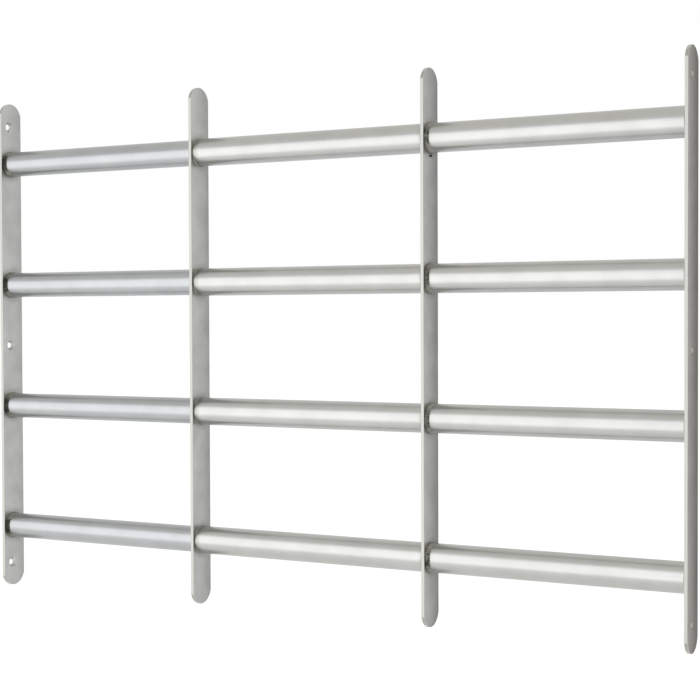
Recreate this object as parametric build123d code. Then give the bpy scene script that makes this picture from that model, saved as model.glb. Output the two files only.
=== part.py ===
from build123d import *

import os

# Extendable window security grille, pulled out to its full width.
#
# Four upright steel flats carry four round horizontal bars. The right-hand section is one
# welded frame: a guide flat, a middle flat and a right flat with hollow tubes between them.
# The left-hand section is a second frame: a left flat with four thinner tubes, which pass
# through the guide flat and telescope inside the centre tubes. The grille is fixed inside a
# window opening by countersunk screws through the left and right flats.
#
# Axes: X runs along the width, +Z is up and -Y is the front. The origin is the middle of the
# grille at its full width. Bar 1 is the top bar. All sizes are in millimetres.

# Overall sizes
GRILLE_HEIGHT = 450.0
FULL_WIDTH = 650.0
SLIDE_TRAVEL = 150.0
BAR_COUNT = 4
BAR_PITCH = 112.5

# Tubes
OUTER_TUBE_DIAMETER = 23.8
OUTER_TUBE_WALL = 0.6
INNER_TUBE_WALL = 0.8
SLIDE_CLEARANCE = 0.05
CENTRE_TUBE_LENGTH = 219.0
RIGHT_TUBE_LENGTH = 211.0
STOP_GAP = 4.0  # left between the pushed-in tube ends and the middle flat

# Flats
FLAT_THICKNESS = 2.8
FLAT_MARGIN = 1.6  # how far a flat stands proud of the outer tubes, front and back
END_RADIUS_EXTRA = 0.6  # the end arcs are this much larger than half the flat's depth
EDGE_BREAK = 0.3

# Screw holes in the left and right flats
SCREW_HOLE_DIAMETER = 5.5
COUNTERSINK_DIAMETER = 9.5
SCREW_HOLE_END_DISTANCE = 21.5
SCREW_HOLE_FORWARD = 2.5  # from the flat's centre line towards the front

# Weld beads: the leg along the tube and the leg up the flat. The full beads are on the right
# faces of the left and middle flats, and all the others are small.
FULL_BEAD_TUBE_LEG = 5.5
FULL_BEAD_FLAT_LEG = 1.3
SMALL_BEAD_TUBE_LEG = 1.2
SMALL_BEAD_FLAT_LEG = 0.8

# Sizes that follow from the ones above
OUTER_TUBE_BORE = OUTER_TUBE_DIAMETER - 2 * OUTER_TUBE_WALL
INNER_TUBE_DIAMETER = OUTER_TUBE_BORE - 2 * SLIDE_CLEARANCE
INSERTED_LENGTH = CENTRE_TUBE_LENGTH - SLIDE_TRAVEL - STOP_GAP
FLAT_DEPTH = OUTER_TUBE_DIAMETER + 2 * FLAT_MARGIN
FLAT_END_RADIUS = FLAT_DEPTH / 2 + END_RADIUS_EXTRA

# Where each flat's left face stands
LEFT_FLAT_X = -FULL_WIDTH / 2
RIGHT_FLAT_X = FULL_WIDTH / 2 - FLAT_THICKNESS
MIDDLE_FLAT_X = RIGHT_FLAT_X - RIGHT_TUBE_LENGTH - FLAT_THICKNESS
GUIDE_FLAT_X = MIDDLE_FLAT_X - CENTRE_TUBE_LENGTH - FLAT_THICKNESS


def bar_heights():
    """Return the height of each bar's axis, from the top bar down."""
    top_bar = BAR_PITCH * (BAR_COUNT - 1) / 2
    return [top_bar - BAR_PITCH * index for index in range(BAR_COUNT)]


def disc_along_x(diameter, length, left_x, y, z):
    """Return a solid cylinder along X that starts at left_x."""
    middle_x = left_x + length / 2
    return Pos(middle_x, y, z) * Rot(0, 90, 0) * Cylinder(diameter / 2, length)


def plain_flat(left_x):
    """Return an upright flat with arched ends and lightly broken edges."""
    half_depth = FLAT_DEPTH / 2
    tip_z = GRILLE_HEIGHT / 2
    arch_rise = FLAT_END_RADIUS - (FLAT_END_RADIUS**2 - half_depth**2) ** 0.5
    shoulder_z = tip_z - arch_rise
    outline = Line((-half_depth, -shoulder_z), (-half_depth, shoulder_z))
    outline += ThreePointArc((-half_depth, shoulder_z), (0, tip_z), (half_depth, shoulder_z))
    outline += Line((half_depth, shoulder_z), (half_depth, -shoulder_z))
    outline += ThreePointArc((half_depth, -shoulder_z), (0, -tip_z), (-half_depth, -shoulder_z))
    profile = Plane.YZ.offset(left_x) * make_face(outline)
    blank = extrude(profile, FLAT_THICKNESS, dir=(1, 0, 0))
    edges_by_x = blank.edges().group_by(Axis.X)
    return fillet(edges_by_x[0] + edges_by_x[-1], EDGE_BREAK)


def screw_hole_cut(left_x, inner_side, z):
    """Return the cut for one screw hole, countersunk on the side that faces the grille."""
    hole_y = -SCREW_HOLE_FORWARD
    hole = disc_along_x(SCREW_HOLE_DIAMETER, FLAT_THICKNESS * 3, left_x - FLAT_THICKNESS, hole_y, z)
    sink_depth = (COUNTERSINK_DIAMETER - SCREW_HOLE_DIAMETER) / 2
    inner_x = left_x + FLAT_THICKNESS if inner_side > 0 else left_x
    sink = Cone(COUNTERSINK_DIAMETER / 2, SCREW_HOLE_DIAMETER / 2, sink_depth)
    sink_centre_x = inner_x - inner_side * sink_depth / 2
    return hole + Pos(sink_centre_x, hole_y, z) * Rot(0, -90 * inner_side, 0) * sink


def wall_flat(left_x, inner_side):
    """Return a flat with its three screw holes, one near each end and one half way."""
    end_hole_z = GRILLE_HEIGHT / 2 - SCREW_HOLE_END_DISTANCE
    flat = plain_flat(left_x)
    for z in (end_hole_z, 0, -end_hole_z):
        flat -= screw_hole_cut(left_x, inner_side, z)
    return flat


def guide_flat():
    """Return the flat that the inner tubes slide through."""
    flat = plain_flat(GUIDE_FLAT_X)
    for z in bar_heights():
        flat -= disc_along_x(OUTER_TUBE_BORE, FLAT_THICKNESS * 3, GUIDE_FLAT_X - FLAT_THICKNESS, 0, z)
    return flat


def tube(diameter, wall, left_x, length, z):
    """Return one hollow bar."""
    bore = disc_along_x(diameter - 2 * wall, length, left_x, 0, z)
    return disc_along_x(diameter, length, left_x, 0, z) - bore


def weld_bead(tube_diameter, flat_x, side, tube_leg, flat_leg, z):
    """Return the fillet weld round one tube, on the side of the flat's face given by side."""
    radius = tube_diameter / 2
    toe_on_tube = (flat_x + side * tube_leg, radius)
    toe_on_flat = (flat_x, radius + flat_leg)
    root = (flat_x, radius)
    crown = (flat_x + side * tube_leg * 0.55, radius + flat_leg * 0.55)
    outline = Line(root, toe_on_flat)
    outline += ThreePointArc(toe_on_flat, crown, toe_on_tube)
    outline += Line(toe_on_tube, root)
    section = Plane.XZ * make_face(outline)
    return Pos(0, 0, z) * revolve(section, Axis.X, 360)


def weld_beads(tube_diameter, flat_x, side, tube_leg, flat_leg):
    """Return the beads round all the bars on one face of a flat."""
    return [weld_bead(tube_diameter, flat_x, side, tube_leg, flat_leg, z) for z in bar_heights()]


def save(name, solids):
    """Write one sub-part, which may be several like solids, to its STEP file."""
    export_step(Compound(children=list(solids)), os.path.join("parts", name + ".step"))


def make_flats():
    save("left_flat", wall_flat(LEFT_FLAT_X, 1).solids())
    save("guide_flat", guide_flat().solids())
    save("middle_flat", plain_flat(MIDDLE_FLAT_X).solids())
    save("right_flat", wall_flat(RIGHT_FLAT_X, -1).solids())


def make_tubes():
    inner_x = LEFT_FLAT_X + FLAT_THICKNESS
    centre_x = GUIDE_FLAT_X + FLAT_THICKNESS
    right_x = MIDDLE_FLAT_X + FLAT_THICKNESS
    inner_length = centre_x + INSERTED_LENGTH - inner_x
    for number, z in enumerate(bar_heights(), start=1):
        inner = tube(INNER_TUBE_DIAMETER, INNER_TUBE_WALL, inner_x, inner_length, z)
        centre = tube(OUTER_TUBE_DIAMETER, OUTER_TUBE_WALL, centre_x, CENTRE_TUBE_LENGTH, z)
        right = tube(OUTER_TUBE_DIAMETER, OUTER_TUBE_WALL, right_x, RIGHT_TUBE_LENGTH, z)
        save(f"inner_tube_{number}", inner.solids())
        save(f"centre_tube_{number}", centre.solids())
        save(f"right_tube_{number}", right.solids())


def make_welds():
    full = (FULL_BEAD_TUBE_LEG, FULL_BEAD_FLAT_LEG)
    small = (SMALL_BEAD_TUBE_LEG, SMALL_BEAD_FLAT_LEG)
    left_face = LEFT_FLAT_X + FLAT_THICKNESS
    guide_face = GUIDE_FLAT_X + FLAT_THICKNESS
    middle_right_face = MIDDLE_FLAT_X + FLAT_THICKNESS
    save("left_flat_welds", weld_beads(INNER_TUBE_DIAMETER, left_face, 1, *full))
    save("guide_flat_welds", weld_beads(OUTER_TUBE_DIAMETER, guide_face, 1, *small))
    save("middle_flat_welds_left", weld_beads(OUTER_TUBE_DIAMETER, MIDDLE_FLAT_X, -1, *small))
    save("middle_flat_welds_right", weld_beads(OUTER_TUBE_DIAMETER, middle_right_face, 1, *full))
    save("right_flat_welds", weld_beads(OUTER_TUBE_DIAMETER, RIGHT_FLAT_X, -1, *small))


os.makedirs("parts", exist_ok=True)
make_flats()
make_tubes()
make_welds()
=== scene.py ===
import math

import bpy
from bpy.props import FloatProperty, IntProperty, PointerProperty, StringProperty
from mathutils import Matrix, Vector


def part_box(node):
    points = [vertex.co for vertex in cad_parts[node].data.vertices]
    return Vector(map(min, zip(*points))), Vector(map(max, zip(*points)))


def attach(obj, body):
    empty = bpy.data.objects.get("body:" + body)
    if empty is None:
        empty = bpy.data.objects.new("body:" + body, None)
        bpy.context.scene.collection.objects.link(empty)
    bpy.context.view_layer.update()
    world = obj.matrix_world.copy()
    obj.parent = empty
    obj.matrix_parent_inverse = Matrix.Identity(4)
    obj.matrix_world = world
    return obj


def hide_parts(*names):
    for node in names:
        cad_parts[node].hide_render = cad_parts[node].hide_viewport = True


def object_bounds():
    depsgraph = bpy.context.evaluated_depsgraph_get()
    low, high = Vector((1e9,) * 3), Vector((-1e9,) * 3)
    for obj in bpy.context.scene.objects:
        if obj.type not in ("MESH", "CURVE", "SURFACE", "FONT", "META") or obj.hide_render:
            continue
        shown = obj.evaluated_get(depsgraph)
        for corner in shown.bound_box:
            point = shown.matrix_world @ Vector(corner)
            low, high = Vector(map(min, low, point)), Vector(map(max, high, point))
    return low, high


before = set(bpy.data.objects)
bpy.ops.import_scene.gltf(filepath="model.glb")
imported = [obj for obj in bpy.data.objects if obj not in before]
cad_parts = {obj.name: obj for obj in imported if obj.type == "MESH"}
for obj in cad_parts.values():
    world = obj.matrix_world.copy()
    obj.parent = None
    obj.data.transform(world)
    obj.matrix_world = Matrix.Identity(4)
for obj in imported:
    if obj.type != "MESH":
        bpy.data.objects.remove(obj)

bl_info = {
    "name": "Extendable Window Grille",
    "version": (1, 0, 0),
    "blender": (4, 5, 0),
    "location": "3D View > Sidebar > Grille",
    "description": "Finishes the steel of a telescopic window grille, welds it and lights it",
    "category": "Object",
}

MM = 0.001
CAD_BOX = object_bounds()

FLATS = ("left_flat", "guide_flat", "middle_flat", "right_flat")
BAR_COUNT = 4
INNER_TUBES = tuple(f"inner_tube_{number + 1}" for number in range(BAR_COUNT))
CENTRE_TUBES = tuple(f"centre_tube_{number + 1}" for number in range(BAR_COUNT))
RIGHT_TUBES = tuple(f"right_tube_{number + 1}" for number in range(BAR_COUNT))

# Each group of weld beads: its tube, its flat, the body it moves with and how dark the soot and painted
# shade on its front are
WELDS = {
    "left_flat_welds": ("inner_tube_1", "left_flat", "sliding_section", 1.0),
    "guide_flat_welds": ("centre_tube_1", "guide_flat", "main_section", 0.72),
    "middle_flat_welds_left": ("centre_tube_1", "middle_flat", "main_section", 0.0),
    "middle_flat_welds_right": ("right_tube_1", "middle_flat", "main_section", 0.78),
    "right_flat_welds": ("right_tube_1", "right_flat", "main_section", 0.0),
}

# The grid that becomes one bead has this many rows across: nine over the bead's face, one at
# its root and one that closes the loop
BEAD_ROWS = 11
BEAD_FACE_SHARE = 8 / (BEAD_ROWS - 1)
BEAD_ROOT_ROW = 9 / (BEAD_ROWS - 1)
VERTICES_PER_RIPPLE = 6

# The node that does one sum, in materials and in node groups alike
MATHS = "ShaderNodeMath"

# How far the floor runs from the grille to each side, in metres
FLOOR_REACH = 20.0


class GrilleSteelSettings(bpy.types.PropertyGroup):
    """How the flats and tubes look"""

    flat_colour: StringProperty(name="Flat Colour", description="sRGB hex colour of the plated flats",
                                default="BFBFBC", maxlen=6)
    inner_tube_colour: StringProperty(name="Inner Tube Colour", default="A8AAAC", maxlen=6,
                                      description="sRGB hex colour of the sliding section's tubes")
    outer_tube_colour: StringProperty(name="Outer Tube Colour", default="B3B3B2", maxlen=6,
                                      description="sRGB hex colour of the main section's tubes")
    tube_roughness: FloatProperty(name="Tube Roughness", description="Roughness of the plated tubes",
                                  default=0.32, min=0.0, max=1.0, subtype="FACTOR")
    strip_roughness: FloatProperty(name="Strip Roughness", description="Roughness of the plated flats",
                                   default=0.32, min=0.0, max=1.0, subtype="FACTOR")
    cloud_size: FloatProperty(name="Cloud Size", description="Length of one cloud in the zinc",
                              default=18 * MM, min=1 * MM, unit="LENGTH")
    line_width: FloatProperty(name="Line Width", description="Width of one draw line or roll line",
                              default=0.6 * MM, min=0.1 * MM, unit="LENGTH")
    line_length: FloatProperty(name="Line Length", description="Length of one draw line or roll line",
                               default=70 * MM, min=1 * MM, unit="LENGTH")
    strip_crown: FloatProperty(name="Strip Crown", description="Lean of a flat's faces at its long edges",
                               default=math.radians(4.5), min=0.0, subtype="ANGLE")
    # How far the olive heat tint with painted shade reaches from each weld
    tint_reach: FloatProperty(name="Heat Tint Reach", description="How far the heat tint runs from a weld",
                              default=7 * MM, min=0.1 * MM, unit="LENGTH")


class GrilleWeldSettings(bpy.types.PropertyGroup):
    """How the weld beads look"""

    # The dark colour of the soot and painted shade on the beads' fronts and toes
    scorch_and_shade_colour: StringProperty(name="Scorch Colour", description="sRGB hex colour of the smoke on a bead",
                                  default="30302C", maxlen=6)
    ripples: IntProperty(name="Ripples", description="Ripples in one bead round a tube", default=32, min=4)
    ripple_depth: FloatProperty(name="Ripple Depth", description="Depth of a ripple as a part of the bead",
                                default=0.09, min=0.0, max=0.3, subtype="FACTOR")
    unevenness: FloatProperty(name="Unevenness", description="How much the bead's size wanders",
                              default=0.2, min=0.0, max=0.4, subtype="FACTOR")
    lump: FloatProperty(name="Stop Lump", description="How far the bead swells where it starts and stops",
                        default=0.12, min=0.0, max=0.3, subtype="FACTOR")
    spatter: FloatProperty(name="Spatter Radius", description="Radius of the one drop of weld spatter",
                           default=1.1 * MM, min=0.0, unit="LENGTH")
    seed: IntProperty(name="Seed", description="Picks one fixed pattern of unevenness", default=7)


class GrilleStageSettings(bpy.types.PropertyGroup):
    """Camera, floor and light"""

    lens: FloatProperty(name="Lens", description="Focal length on a 36 mm sensor", default=79.08, min=1.0)
    camera_x: FloatProperty(name="Camera X", description="Camera to the right of the grille's middle",
                            default=0.6409, unit="LENGTH")
    camera_y: FloatProperty(name="Camera Y", description="Camera in front of the grille, as a minus value",
                            default=-1.1189, unit="LENGTH")
    camera_z: FloatProperty(name="Camera Z", description="Camera above the grille's middle",
                            default=0.0268, unit="LENGTH")
    camera_turn: FloatProperty(name="Camera Turn", description="Turn to the left", default=0.4948,
                               subtype="ANGLE")
    camera_lean: FloatProperty(name="Camera Lean", description="Lean up, or down as a minus value",
                               default=-0.0225, subtype="ANGLE")
    camera_roll: FloatProperty(name="Camera Roll", description="Roll about the view", default=0.0035,
                               subtype="ANGLE")
    floor_gap: FloatProperty(name="Floor Gap", description="Floor below the hanging grille", default=0.3,
                             unit="LENGTH")
    softbox_distance: FloatProperty(name="Softbox Distance", description="Softbox in front of the grille",
                                    default=0.7, unit="LENGTH")
    softbox_top: FloatProperty(name="Softbox Top", description="Its upper edge above the grille's middle",
                               default=0.5, unit="LENGTH")
    softbox_bottom: FloatProperty(name="Softbox Bottom", description="Its lower edge, as a minus value",
                                  default=-0.47, unit="LENGTH")
    softbox_radiance: FloatProperty(name="Softbox Radiance", description="Light it adds to the white tent",
                                    default=1.1, min=0.0)
    cloth_turn: FloatProperty(name="Grey Cloth Turn", description="Its middle to the right of the back",
                              default=math.radians(6), subtype="ANGLE")
    cloth_reach: FloatProperty(name="Grey Cloth Reach", description="Angle from its middle to its edge",
                               default=math.radians(34), subtype="ANGLE")


def middle_of(node):
    """Return the middle of a CAD node's box."""
    low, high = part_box(node)
    return (Vector(low) + Vector(high)) / 2


def size_of(node):
    """Return the lengths of a CAD node's box."""
    low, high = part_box(node)
    return Vector(high) - Vector(low)


def bars_apart():
    """Return the distance from one bar's axis to the next bar's."""
    return middle_of("inner_tube_1").z - middle_of("inner_tube_2").z


def linear(hex_colour):
    """Turn an sRGB hex colour such as 9FA3A5 into linear red, green, blue and a full alpha."""
    channels = [int(hex_colour[start:start + 2], 16) / 255 for start in (0, 2, 4)]
    curved = [c / 12.92 if c <= 0.04045 else ((c + 0.055) / 1.055) ** 2.4 for c in channels]
    return (*curved, 1.0)


def add_node(tree, kind, inputs=(), **settings):
    """Add one node with its settings, and fill its inputs, by name or in order."""
    node = tree.nodes.new(kind)
    for name, value in settings.items():
        setattr(node, name, value)
    named = inputs if isinstance(inputs, dict) else dict(enumerate(inputs))
    for key, value in named.items():
        if isinstance(value, bpy.types.Node):
            value = value.outputs[0]
        if isinstance(value, bpy.types.NodeSocket):
            tree.links.new(value, node.inputs[key])
        else:
            node.inputs[key].default_value = value
    return node


def new_material(name):
    """Return a material with an empty node tree."""
    material = bpy.data.materials.new(name)
    material.use_nodes = True
    material.node_tree.nodes.clear()
    return material


def dress(node, material):
    """Give a CAD node its material."""
    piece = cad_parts[node]
    piece.data.materials.clear()
    piece.data.materials.append(material)


def zinc_clouds(tree, place, light, dark, cloud_size):
    """Return the colour of zinc plating: two close greys in soft clouds."""
    clouds = add_node(tree, "ShaderNodeTexNoise", {"Vector": place, "Scale": 1 / cloud_size, "Detail": 4.0})
    spread = add_node(tree, "ShaderNodeMapRange", {"Value": clouds, "From Min": 0.35, "From Max": 0.65})
    tone = add_node(tree, "ShaderNodeMix", {"Factor": spread, "A": linear(dark), "B": linear(light)},
                    data_type="RGBA")
    return tone.outputs["Result"]


def fine_lines(tree, place, wavelengths):
    """Return noise drawn out into fine lines, from one wavelength for each axis."""
    scale = [1 / length for length in wavelengths]
    stretched = add_node(tree, "ShaderNodeMapping", {"Vector": place, "Scale": scale})
    return add_node(tree, "ShaderNodeTexNoise", {"Vector": stretched, "Scale": 1.0, "Detail": 2.0})


def satin_metal(tree, tone, lines, roughness, bump):
    """Close a steel material: the lines stir its roughness, and bump tilts its surface."""
    rough = add_node(tree, "ShaderNodeMapRange", {"Value": lines, "From Min": 0.3, "From Max": 0.7,
                                                  "To Min": roughness - 0.03, "To Max": roughness + 0.03})
    shader = add_node(tree, "ShaderNodeBsdfPrincipled",
                      {"Base Color": tone, "Metallic": 1.0, "Roughness": rough, "Normal": bump})
    add_node(tree, "ShaderNodeOutputMaterial", {"Surface": shader})


def rolled_strip(name, light, dark, heat_and_shade_tint, steel):
    """Zinc over cold-rolled strip: a soft sheen that falls off over each crowned face, an olive ring of heat
    tint and painted shade round each bar, and edges dulled by painted shade.
    """
    material = new_material(name)
    tree = material.node_tree
    coordinates = add_node(tree, "ShaderNodeTexCoord")
    place = coordinates.outputs["Object"]
    tone = zinc_clouds(tree, place, light, dark, steel.cloud_size)
    position = add_node(tree, "ShaderNodeSeparateXYZ", (place,))
    # Distance from the nearest bar's axis: the bars lie half a pitch to either side of the middle
    height = add_node(tree, MATHS, (position.outputs["Z"],), operation="ABSOLUTE")
    within_pitch = add_node(tree, MATHS, (height, bars_apart()), operation="MODULO")
    from_bar = add_node(tree, MATHS, (within_pitch, bars_apart() / 2), operation="SUBTRACT")
    offset = add_node(tree, "ShaderNodeCombineXYZ", {"Y": position.outputs["Y"], "Z": from_bar})
    radius = add_node(tree, "ShaderNodeVectorMath", (offset,), operation="LENGTH").outputs["Value"]
    tube_radius = size_of("centre_tube_1").z / 2
    # An olive ring round each bar on the welded faces: heat tint with painted shade in the corner by the
    # tube
    fading = add_node(tree, "ShaderNodeMapRange", {"Value": radius, "From Min": tube_radius,
                                                   "From Max": tube_radius + steel.tint_reach,
                                                   "To Min": heat_and_shade_tint, "To Max": 0.0},
                      interpolation_type="SMOOTHSTEP")
    outside = add_node(tree, "ShaderNodeMapRange", {"Value": radius, "From Min": 0.8 * tube_radius,
                                                    "From Max": tube_radius},
                       interpolation_type="SMOOTHSTEP")
    ring = add_node(tree, MATHS, (fading, outside), operation="MULTIPLY")
    # Only the faces that look right carry the full beads
    normal = add_node(tree, "ShaderNodeSeparateXYZ", (coordinates.outputs["Normal"],))
    heat_and_shade = add_node(tree, MATHS, (ring, normal.outputs["X"]), operation="MULTIPLY", use_clamp=True)
    tinted = add_node(tree, "ShaderNodeMix", {"Factor": heat_and_shade, "A": tone, "B": linear("7B7A6C")},
                      data_type="RGBA")
    # The long edges get a darker tone, a painted shade that dims their reflection of the softbox
    sideways = add_node(tree, MATHS, (normal.outputs["Y"],), operation="ABSOLUTE")
    on_edge = add_node(tree, "ShaderNodeMapRange", {"Value": sideways, "From Min": 0.5, "From Max": 0.8})
    edged = add_node(tree, "ShaderNodeMix", {"Factor": on_edge, "A": tinted.outputs["Result"],
                                             "B": linear("A3A39F")}, data_type="RGBA")
    lines = fine_lines(tree, place, (steel.line_width, steel.line_width, steel.line_length))
    fine_bump = add_node(tree, "ShaderNodeBump", {"Height": lines, "Strength": 0.06, "Distance": 0.02 * MM})
    # A parabola across the depth leans the surface by the crown angle at the long edges
    half_depth = size_of("left_flat").y / 2
    across = position.outputs["Y"]
    squared = add_node(tree, MATHS, (across, across), operation="MULTIPLY")
    steepness = -math.tan(steel.strip_crown) / (2 * half_depth)
    crown = add_node(tree, MATHS, (squared, steepness), operation="MULTIPLY")
    bump = add_node(tree, "ShaderNodeBump", {"Height": crown, "Strength": 1.0, "Distance": 1.0,
                                             "Normal": fine_bump})
    satin_metal(tree, edged.outputs["Result"], lines, steel.strip_roughness, bump)
    return material


def drawn_tube(name, light, dark, welded_faces, steel):
    """Zinc over drawn tube: a smooth sheen with long draw lines, and an olive band by each weld, heat tint
    with painted shade where the tube meets the flat.
    """
    material = new_material(name)
    tree = material.node_tree
    place = add_node(tree, "ShaderNodeTexCoord").outputs["Object"]
    tone = zinc_clouds(tree, place, light, dark, steel.cloud_size)
    along = add_node(tree, "ShaderNodeSeparateXYZ", (place,)).outputs["X"]
    # An olive band by each welded face: heat tint with painted shade where the tube meets the flat
    for face_x in welded_faces:
        away = add_node(tree, MATHS, (along, face_x), operation="SUBTRACT")
        gap = add_node(tree, MATHS, (away,), operation="ABSOLUTE")
        heat_and_shade = add_node(tree, "ShaderNodeMapRange", {"Value": gap, "From Min": 0.3 * steel.tint_reach,
                                                     "From Max": steel.tint_reach,
                                                     "To Min": 0.4, "To Max": 0.0},
                        interpolation_type="SMOOTHSTEP")
        tinted = add_node(tree, "ShaderNodeMix", {"Factor": heat_and_shade, "A": tone, "B": linear("77766A")},
                          data_type="RGBA")
        tone = tinted.outputs["Result"]
    lines = fine_lines(tree, place, (steel.line_length, steel.line_width, steel.line_width))
    bump = add_node(tree, "ShaderNodeBump", {"Height": lines, "Strength": 0.06, "Distance": 0.02 * MM})
    satin_metal(tree, tone, lines, steel.tube_roughness, bump)
    return material


def sooty_shaded_weld(steel, weld):
    """Scorched weld metal: grey-olive, nearly black in front and at the toe, from soot deepened by painted
    shade.
    """
    material = new_material("scorched_and_shaded weld bead under thin zinc")
    tree = material.node_tree
    place = add_node(tree, "ShaderNodeTexCoord").outputs["Object"]
    soot_and_shade = add_node(tree, "ShaderNodeAttribute", attribute_name="bead_soot_and_shade").outputs["Fac"]
    across = add_node(tree, "ShaderNodeAttribute", attribute_name="bead_across").outputs["Fac"]
    # Soot and painted crease shade darken the toe on the flat
    toe = add_node(tree, "ShaderNodeMapRange", {"Value": across, "From Max": 0.2,
                                                "To Min": 0.8, "To Max": 0.0})
    sooty_and_shaded = add_node(tree, MATHS, (soot_and_shade, toe), operation="MAXIMUM")
    grain = add_node(tree, "ShaderNodeTexNoise", {"Vector": place, "Scale": 1 / (3 * MM), "Detail": 3.0})
    stirred = add_node(tree, MATHS, (grain, 0.9, sooty_and_shaded), operation="MULTIPLY_ADD")
    factor = add_node(tree, "ShaderNodeMapRange", {"Value": stirred, "From Min": 0.35, "From Max": 1.35})
    tone = add_node(tree, "ShaderNodeMix", {"Factor": factor, "A": linear("A3A29B"),
                                            "B": linear(weld.scorch_and_shade_colour)}, data_type="RGBA")
    bump = add_node(tree, "ShaderNodeBump", {"Height": grain, "Strength": 0.3, "Distance": 0.1 * MM})
    satin_metal(tree, tone.outputs["Result"], grain, steel.strip_roughness + 0.15, bump)
    return material


def clean_weld(steel):
    """Weld metal fully covered by zinc: the strip's grey on a small rippled bead."""
    material = new_material("small weld bead under full zinc")
    tree = material.node_tree
    place = add_node(tree, "ShaderNodeTexCoord").outputs["Object"]
    tone = zinc_clouds(tree, place, "B0AFA8", "98978F", 2 * MM)
    grain = add_node(tree, "ShaderNodeTexNoise", {"Vector": place, "Scale": 1 / (1 * MM), "Detail": 3.0})
    bump = add_node(tree, "ShaderNodeBump", {"Height": grain, "Strength": 0.2, "Distance": 0.05 * MM})
    satin_metal(tree, tone, grain, steel.strip_roughness, bump)
    return material


def bead_grids(tree, given):
    """Return one flat grid for each bar, which keeps each point's turn round the tube and way across."""
    columns = add_node(tree, MATHS, (given["Ripples"], VERTICES_PER_RIPPLE, 1), operation="MULTIPLY_ADD")
    grid = add_node(tree, "GeometryNodeMeshGrid",
                    {"Size X": 1.0, "Size Y": 1.0, "Vertices X": columns, "Vertices Y": BEAD_ROWS})
    position = add_node(tree, "GeometryNodeInputPosition")
    spot = add_node(tree, "ShaderNodeSeparateXYZ", (position,))
    turn = add_node(tree, MATHS, (spot.outputs["X"], 2 * math.pi, math.pi), operation="MULTIPLY_ADD")
    across = add_node(tree, MATHS, (spot.outputs["Y"], 0.5), operation="ADD")
    with_turn = add_node(tree, "GeometryNodeStoreNamedAttribute",
                         {"Geometry": grid.outputs["Mesh"], "Name": "bead_turn", "Value": turn})
    with_across = add_node(tree, "GeometryNodeStoreNamedAttribute",
                           {"Geometry": with_turn, "Name": "bead_across", "Value": across})
    top = add_node(tree, "ShaderNodeCombineXYZ", {"Z": given["Top Bar Z"]})
    fall = add_node(tree, MATHS, (given["Bar Pitch"], -1.0), operation="MULTIPLY")
    down = add_node(tree, "ShaderNodeCombineXYZ", {"Z": fall})
    bars = add_node(tree, "GeometryNodeMeshLine",
                    {"Count": given["Bar Count"], "Start Location": top, "Offset": down})
    placed = add_node(tree, "GeometryNodeInstanceOnPoints", {"Points": bars, "Instance": with_across})
    return add_node(tree, "GeometryNodeRealizeInstances", (placed,))


def ripple_loss(tree, given, turn, lean):
    """Return how much of the bead the ripples take away; lean slants them like a welder's stitches."""
    phase = add_node(tree, MATHS, (turn, given["Ripples"], lean), operation="MULTIPLY_ADD")
    swing = add_node(tree, MATHS, (phase,), operation="COSINE")
    wave = add_node(tree, MATHS, (swing, 0.5, 0.5), operation="MULTIPLY_ADD")
    return add_node(tree, MATHS, (wave, given["Ripple Depth"]), operation="MULTIPLY")


def wander_loss(tree, given, back, up, bar_z):
    """Return how much of the bead its unevenness takes away, different on each bar."""
    far_bar = add_node(tree, MATHS, (bar_z, 40.0), operation="MULTIPLY")
    noise_place = add_node(tree, "ShaderNodeCombineXYZ", (back, up, far_bar))
    noise = add_node(tree, "ShaderNodeTexNoise",
                     {"Vector": noise_place, "W": given["Seed"], "Scale": 1.6, "Detail": 2.0},
                     noise_dimensions="4D")
    return add_node(tree, MATHS, (noise, given["Unevenness"]), operation="MULTIPLY")


def lump_loss(tree, given, back, up):
    """Return how much the bead shrinks away from the stop lump, which is low in front."""
    below = add_node(tree, MATHS, (up, -0.92), operation="MULTIPLY")
    toward_stop = add_node(tree, MATHS, (back, -0.4, below), operation="MULTIPLY_ADD")
    away = add_node(tree, "ShaderNodeMapRange",
                    {"Value": toward_stop, "From Min": 0.95, "From Max": 1.0, "To Min": 1.0, "To Max": 0.0},
                    interpolation_type="SMOOTHSTEP")
    return add_node(tree, MATHS, (away, given["Stop Lump"]), operation="MULTIPLY")


def spatter_drop(tree, given):
    """Return one drop of spatter on the flat just under the top bar, or nothing at radius nought."""
    drop_x = add_node(tree, MATHS, (given["Spatter Radius"], 0.5, given["Face X"]), operation="MULTIPLY_ADD")
    under_tube = add_node(tree, MATHS, (given["Spatter Radius"], 2.2, given["Tube Radius"]),
                          operation="MULTIPLY_ADD")
    drop_z = add_node(tree, MATHS, (given["Top Bar Z"], under_tube), operation="SUBTRACT")
    drop_place = add_node(tree, "ShaderNodeCombineXYZ", {"X": drop_x, "Z": drop_z})
    ball = add_node(tree, "GeometryNodeMeshUVSphere",
                    {"Segments": 16, "Rings": 10, "Radius": given["Spatter Radius"]})
    drop = add_node(tree, "GeometryNodeTransform", {"Geometry": ball, "Translation": drop_place})
    has_drop = add_node(tree, "FunctionNodeCompare", {"A": given["Spatter Radius"], "B": 0.0},
                        data_type="FLOAT", operation="GREATER_THAN")
    return add_node(tree, "GeometryNodeSwitch", {"Switch": has_drop, "True": drop}, input_type="GEOMETRY")


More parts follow.
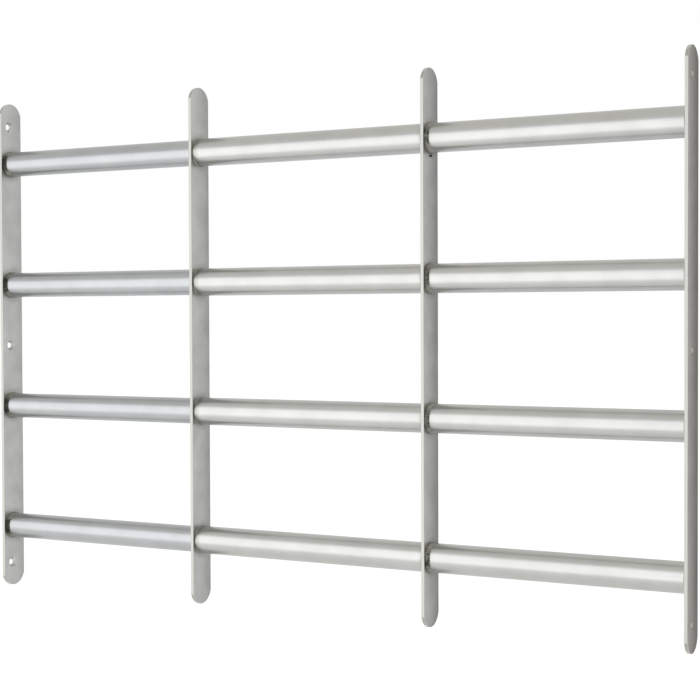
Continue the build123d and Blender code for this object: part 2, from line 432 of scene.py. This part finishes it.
def bead_group():
    """Build the node group that lays one rippled fillet bead round each bar on one face of a flat."""
    tree = bpy.data.node_groups.new("rippled weld beads", "GeometryNodeTree")
    tree.interface.new_socket("Geometry", in_out="OUTPUT", socket_type="NodeSocketGeometry")
    for name in ("Face X", "Tube Radius", "Leg Along Tube", "Leg Up Flat", "Top Bar Z", "Bar Pitch",
                 "Ripple Depth", "Unevenness", "Stop Lump", "Soot And Shade", "Spatter Radius", "Seed"):
        tree.interface.new_socket(name, in_out="INPUT", socket_type="NodeSocketFloat")
    for name in ("Bar Count", "Ripples"):
        tree.interface.new_socket(name, in_out="INPUT", socket_type="NodeSocketInt")
    tree.interface.new_socket("Material", in_out="INPUT", socket_type="NodeSocketMaterial")
    given = add_node(tree, "NodeGroupInput").outputs
    beads = bead_grids(tree, given)

    # Where each point sits: round the tube, across the bead and on which bar
    turn = add_node(tree, "GeometryNodeInputNamedAttribute", {"Name": "bead_turn"})
    row = add_node(tree, "GeometryNodeInputNamedAttribute", {"Name": "bead_across"})
    position = add_node(tree, "GeometryNodeInputPosition")
    bar_z = add_node(tree, "ShaderNodeSeparateXYZ", (position,)).outputs["Z"]
    back = add_node(tree, MATHS, (turn,), operation="COSINE")
    up = add_node(tree, MATHS, (turn,), operation="SINE")

    # The lean goes from nought at the toe on the flat to a quarter turn at the toe on the tube
    on_face = add_node(tree, MATHS, (row, BEAD_FACE_SHARE + 0.05), operation="LESS_THAN")
    quarters = add_node(tree, MATHS, (row, math.pi / 2 / BEAD_FACE_SHARE), operation="MULTIPLY")
    lean = add_node(tree, MATHS, (quarters, on_face), operation="MULTIPLY")

    # The bead's size is the whole leg less its losses, and nought along the root
    losses = (ripple_loss(tree, given, turn, lean), wander_loss(tree, given, back, up, bar_z),
              lump_loss(tree, given, back, up))
    size = 1.0
    for loss in losses:
        size = add_node(tree, MATHS, (size, loss), operation="SUBTRACT")
    at_root = add_node(tree, MATHS, (row, BEAD_ROOT_ROW, 0.04), operation="COMPARE")
    off_root = add_node(tree, MATHS, (1.0, at_root), operation="SUBTRACT")
    size = add_node(tree, MATHS, (size, off_root), operation="MULTIPLY")

    # A section a little flatter than a quarter ellipse between the two toes
    legs = {}
    for direction, wave in (("along", "SINE"), ("up", "COSINE")):
        round_section = add_node(tree, MATHS, (lean,), operation=wave)
        flattened = add_node(tree, MATHS, (round_section, 1.7), operation="POWER")
        legs[direction] = add_node(tree, MATHS, (flattened, size), operation="MULTIPLY")
    x = add_node(tree, MATHS, (legs["along"], given["Leg Along Tube"], given["Face X"]),
                 operation="MULTIPLY_ADD")
    radius = add_node(tree, MATHS, (legs["up"], given["Leg Up Flat"], given["Tube Radius"]),
                      operation="MULTIPLY_ADD")
    y = add_node(tree, MATHS, (radius, back), operation="MULTIPLY")
    z = add_node(tree, MATHS, (radius, up, bar_z), operation="MULTIPLY_ADD")
    # Soot with painted shade on the bead's front, darkest straight in front
    soot_and_shade = add_node(tree, "ShaderNodeMapRange",
                     {"Value": back, "From Min": -0.6, "From Max": -1.0, "To Max": given["Soot And Shade"]},
                     interpolation_type="SMOOTHSTEP")
    stained = add_node(tree, "GeometryNodeStoreNamedAttribute",
                       {"Geometry": beads, "Name": "bead_soot_and_shade", "Value": soot_and_shade})
    place = add_node(tree, "ShaderNodeCombineXYZ", (x, y, z))
    shaped = add_node(tree, "GeometryNodeSetPosition", {"Geometry": stained, "Position": place})
    closed = add_node(tree, "GeometryNodeMergeByDistance", {"Geometry": shaped, "Distance": 0.001 * MM})
    leftward = add_node(tree, "FunctionNodeCompare", {"A": given["Leg Along Tube"], "B": 0.0},
                        data_type="FLOAT", operation="LESS_THAN")
    outward = add_node(tree, "GeometryNodeFlipFaces", {"Mesh": closed, "Selection": leftward})

    joined = add_node(tree, "GeometryNodeJoinGeometry", {"Geometry": outward})
    tree.links.new(spatter_drop(tree, given).outputs[0], joined.inputs["Geometry"])
    smooth = add_node(tree, "GeometryNodeSetShadeSmooth", {"Geometry": joined})
    plain = add_node(tree, "GeometryNodeRealizeInstances", (smooth,))
    finished = add_node(tree, "GeometryNodeSetMaterial", {"Geometry": plain, "Material": given["Material"]})
    add_node(tree, "NodeGroupOutput", {"Geometry": finished})
    return tree


def lay_beads(context, group, node, material):
    """Make one weld piece from the node group, as a plain mesh named after its CAD node."""
    tube, flat, body, soot_and_shade = WELDS[node]
    weld = context.scene.grille_weld
    on_right = middle_of(node).x > middle_of(flat).x
    legs = size_of(node)
    tube_radius = size_of(tube).z / 2
    all_bars = bars_apart() * (BAR_COUNT - 1)
    values = {
        "Face X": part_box(node)[0][0] if on_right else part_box(node)[1][0],
        "Tube Radius": tube_radius,
        "Leg Along Tube": legs.x if on_right else -legs.x,
        "Leg Up Flat": legs.y / 2 - tube_radius,
        "Top Bar Z": middle_of(node).z + all_bars / 2,
        "Bar Pitch": bars_apart(),
        "Bar Count": BAR_COUNT,
        "Ripples": weld.ripples,
        "Ripple Depth": weld.ripple_depth,
        "Unevenness": weld.unevenness,
        "Stop Lump": weld.lump,
        "Soot And Shade": soot_and_shade,
        "Spatter Radius": weld.spatter if node == "middle_flat_welds_right" else 0.0,
        "Seed": float(weld.seed),
        "Material": material,
    }
    source = bpy.data.objects.new("bead source", bpy.data.meshes.new("bead source"))
    context.scene.collection.objects.link(source)
    modifier = source.modifiers.new("beads", "NODES")
    modifier.node_group = group
    for socket in group.interface.items_tree:
        if socket.in_out == "INPUT":
            modifier[socket.identifier] = values[socket.name]
    depsgraph = context.evaluated_depsgraph_get()
    mesh = bpy.data.meshes.new_from_object(source.evaluated_get(depsgraph), depsgraph=depsgraph)
    bpy.data.objects.remove(source)
    if not mesh.vertices:
        raise RuntimeError(f"no beads were made for {node}")
    mesh.name = f"{node}_rippled"
    piece = bpy.data.objects.new(mesh.name, mesh)
    context.scene.collection.objects.link(piece)
    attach(piece, body)
    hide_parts(node)


class GRILLE_OT_flats(bpy.types.Operator):
    """Give the four upright flats their plated strip steel"""

    bl_idname = "grille.flats"
    bl_label = "Finish the Flats"

    def execute(self, context):
        steel = context.scene.grille_steel
        # The welded flats carry the olive ring of heat tint and painted shade
        tinted = rolled_strip("zinc plated cold-rolled strip, heat tinted", steel.flat_colour, "B3B3B0", 0.4,
                              steel)
        # The right flat's warmer tone is a painted reflection of the warm grey cloth
        plain = rolled_strip("zinc plated cold-rolled strip, warm", "C0BDB7", "B4B1AB", 0.0, steel)
        for node in FLATS:
            dress(node, plain if node == "right_flat" else tinted)
        return {"FINISHED"}


class GRILLE_OT_inner_tubes(bpy.types.Operator):
    """Give the sliding section's thinner tubes their slightly cooler steel"""

    bl_idname = "grille.inner_tubes"
    bl_label = "Finish the Inner Tubes"

    def execute(self, context):
        steel = context.scene.grille_steel
        welded_faces = (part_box("left_flat")[1][0],)
        drawn = drawn_tube("zinc plated drawn tube, cool", steel.inner_tube_colour, "A3A5A7",
                           welded_faces, steel)
        for node in INNER_TUBES:
            dress(node, drawn)
        return {"FINISHED"}


class GRILLE_OT_outer_tubes(bpy.types.Operator):
    """Give the main section's tubes their slightly warmer steel"""

    bl_idname = "grille.outer_tubes"
    bl_label = "Finish the Outer Tubes"

    def execute(self, context):
        steel = context.scene.grille_steel
        welded_faces = (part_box("guide_flat")[1][0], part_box("middle_flat")[1][0])
        drawn = drawn_tube("zinc plated drawn tube, warm", steel.outer_tube_colour, "AEAEAD",
                           welded_faces, steel)
        for node in CENTRE_TUBES + RIGHT_TUBES:
            dress(node, drawn)
        return {"FINISHED"}


class GRILLE_OT_welds(bpy.types.Operator):
    """Lay a rippled bead round every bar where it meets a flat"""

    bl_idname = "grille.welds"
    bl_label = "Lay the Weld Beads"

    def execute(self, context):
        group = bead_group()
        sooty_shaded = sooty_shaded_weld(context.scene.grille_steel, context.scene.grille_weld)
        clean = clean_weld(context.scene.grille_steel)
        for node, (_, _, _, soot_and_shade) in WELDS.items():
            lay_beads(context, group, node, sooty_shaded if soot_and_shade else clean)
        return {"FINISHED"}


def set_camera(scene, stage):
    """Stand the camera to the front right, level with the grille's middle."""
    data = bpy.data.cameras.new("camera")
    data.lens = stage.lens
    data.sensor_width = 36.0
    camera = bpy.data.objects.new("camera", data)
    level = Matrix.Rotation(math.pi / 2, 3, "X")
    aim = (Matrix.Rotation(stage.camera_turn, 3, "Z") @ Matrix.Rotation(stage.camera_lean, 3, "X")
           @ Matrix.Rotation(stage.camera_roll, 3, "Y"))
    place = Matrix.Translation((stage.camera_x, stage.camera_y, stage.camera_z))
    camera.matrix_world = place @ (aim @ level).to_4x4()
    scene.collection.objects.link(camera)
    scene.camera = camera


def hang_tent(scene, stage):
    """Put the grille in a white tent with a grey cloth behind it, which only the steel sees."""
    world = bpy.data.worlds.new("white tent")
    world.use_nodes = True
    scene.world = world
    tree = world.node_tree
    tree.nodes.clear()
    direction = add_node(tree, "ShaderNodeTexCoord").outputs["Generated"]
    toward = add_node(tree, "ShaderNodeSeparateXYZ", (direction,))
    turn = add_node(tree, MATHS, (toward.outputs["X"], toward.outputs["Y"]), operation="ARCTAN2")
    from_middle = add_node(tree, MATHS, (turn, stage.cloth_turn), operation="SUBTRACT")
    aside = add_node(tree, MATHS, (from_middle,), operation="ABSOLUTE")
    facing = add_node(tree, "ShaderNodeMapRange", {"Value": aside, "From Max": stage.cloth_reach,
                                                   "To Min": 1.0, "To Max": 0.0},
                      interpolation_type="SMOOTHSTEP")
    slope = add_node(tree, MATHS, (toward.outputs["Z"],), operation="ABSOLUTE")
    level = add_node(tree, "ShaderNodeMapRange", {"Value": slope, "From Min": 0.35, "From Max": 0.7,
                                                  "To Min": 1.0, "To Max": 0.0},
                     interpolation_type="SMOOTHSTEP")
    cloth = add_node(tree, MATHS, (facing, level), operation="MULTIPLY")
    height = add_node(tree, "ShaderNodeMapRange", {"Value": toward.outputs["Z"], "From Min": 0.3,
                                                   "From Max": 0.9})
    tent = add_node(tree, "ShaderNodeMix", {"Factor": height, "A": linear("FDFEFF"), "B": linear("FFFDF6")},
                    data_type="RGBA")
    seen_by_steel = add_node(tree, "ShaderNodeMix", {"Factor": cloth, "A": tent.outputs["Result"],
                                                     "B": linear("403A35")}, data_type="RGBA")
    seen_by_camera = add_node(tree, "ShaderNodeLightPath").outputs["Is Camera Ray"]
    colour = add_node(tree, "ShaderNodeMix", {"Factor": seen_by_camera, "A": seen_by_steel.outputs["Result"],
                                              "B": linear("FFFFFF")}, data_type="RGBA")
    back = add_node(tree, "ShaderNodeBackground", {"Color": colour.outputs["Result"], "Strength": 1.0})
    add_node(tree, "ShaderNodeOutputWorld", {"Surface": back})


def hang_softbox(scene, stage):
    """Hang a wide softbox in front, from well left of the grille to its middle."""
    left = CAD_BOX[0][0] - 1.5 * stage.softbox_distance
    right = 0.4 * stage.softbox_distance
    light = bpy.data.lights.new("softbox", "AREA")
    light.shape = "RECTANGLE"
    light.size = right - left
    light.size_y = stage.softbox_top - stage.softbox_bottom
    light.energy = stage.softbox_radiance * math.pi * light.size * light.size_y
    lamp = bpy.data.objects.new("softbox", light)
    middle_z = (stage.softbox_top + stage.softbox_bottom) / 2
    lamp.location = ((left + right) / 2, -stage.softbox_distance, middle_z)
    lamp.rotation_euler = (math.pi / 2, 0, 0)
    lamp.visible_camera = False
    scene.collection.objects.link(lamp)


def backlit_acrylic():
    """White acrylic sheet lit from below: an even pale floor with a trace of haze in it."""
    material = new_material("backlit white acrylic")
    tree = material.node_tree
    place = add_node(tree, "ShaderNodeTexCoord").outputs["Object"]
    haze = add_node(tree, "ShaderNodeTexNoise", {"Vector": place, "Scale": 3.0, "Detail": 2.0})
    tone = add_node(tree, "ShaderNodeMix", {"Factor": haze, "A": linear("E0E0E0"), "B": linear("E3E3E3")},
                    data_type="RGBA")
    shader = add_node(tree, "ShaderNodeBsdfPrincipled",
                      {"Base Color": tone.outputs["Result"], "Roughness": 0.9, "Specular IOR Level": 0.1,
                       "Emission Color": (1, 1, 1, 1), "Emission Strength": 0.32})
    add_node(tree, "ShaderNodeOutputMaterial", {"Surface": shader})
    return material


def lay_floor(scene, name, near_y, far_y, floor_z, material):
    """Lay one level sheet of the pale floor."""
    sides = (-FLOOR_REACH, FLOOR_REACH)
    corners = [(sides[0], near_y, floor_z), (sides[1], near_y, floor_z),
               (sides[1], far_y, floor_z), (sides[0], far_y, floor_z)]
    mesh = bpy.data.meshes.new(name)
    mesh.from_pydata(corners, [], [(0, 1, 2, 3)])
    mesh.materials.append(material)
    floor = bpy.data.objects.new(name, mesh)
    scene.collection.objects.link(floor)
    return floor


class GRILLE_OT_stage(bpy.types.Operator):
    """Set the camera, the pale floor and the soft studio light"""

    bl_idname = "grille.stage"
    bl_label = "Set the Stage"

    def execute(self, context):
        scene = context.scene
        stage = scene.grille_stage
        scene.view_settings.view_transform = "Standard"
        floor_z = CAD_BOX[0][2] - stage.floor_gap
        set_camera(scene, stage)
        hang_tent(scene, stage)
        hang_softbox(scene, stage)
        seam_y = CAD_BOX[1][1] + stage.floor_gap
        acrylic = backlit_acrylic()
        lay_floor(scene, "front_floor", -FLOOR_REACH, seam_y, floor_z, acrylic)
        # The steel sees the grey cloth where the back floor lies
        back_floor = lay_floor(scene, "back_floor", seam_y, FLOOR_REACH, floor_z, acrylic)
        back_floor.visible_glossy = False
        return {"FINISHED"}


class GRILLE_PT_panel(bpy.types.Panel):
    """Settings and steps of the window grille"""

    bl_label = "Window Grille"
    bl_idname = "GRILLE_PT_panel"
    bl_space_type = "VIEW_3D"
    bl_region_type = "UI"
    bl_category = "Grille"

    def draw(self, context):
        layout = self.layout
        for settings in (context.scene.grille_steel, context.scene.grille_weld, context.scene.grille_stage):
            box = layout.box()
            for name in settings.__annotations__:
                box.prop(settings, name)
        for operator in OPERATORS:
            layout.operator(operator.bl_idname)


OPERATORS = (GRILLE_OT_flats, GRILLE_OT_inner_tubes, GRILLE_OT_outer_tubes, GRILLE_OT_welds, GRILLE_OT_stage)
CLASSES = (GrilleSteelSettings, GrilleWeldSettings, GrilleStageSettings, *OPERATORS, GRILLE_PT_panel)


def register():
    for cls in CLASSES:
        bpy.utils.register_class(cls)
    bpy.types.Scene.grille_steel = PointerProperty(type=GrilleSteelSettings)
    bpy.types.Scene.grille_weld = PointerProperty(type=GrilleWeldSettings)
    bpy.types.Scene.grille_stage = PointerProperty(type=GrilleStageSettings)


def unregister():
    del bpy.types.Scene.grille_stage
    del bpy.types.Scene.grille_weld
    del bpy.types.Scene.grille_steel
    for cls in reversed(CLASSES):
        bpy.utils.unregister_class(cls)


def main():
    register()
    bpy.ops.grille.flats()
    bpy.ops.grille.inner_tubes()
    bpy.ops.grille.outer_tubes()
    bpy.ops.grille.welds()
    bpy.ops.grille.stage()


if __name__ == "__main__":
    main()
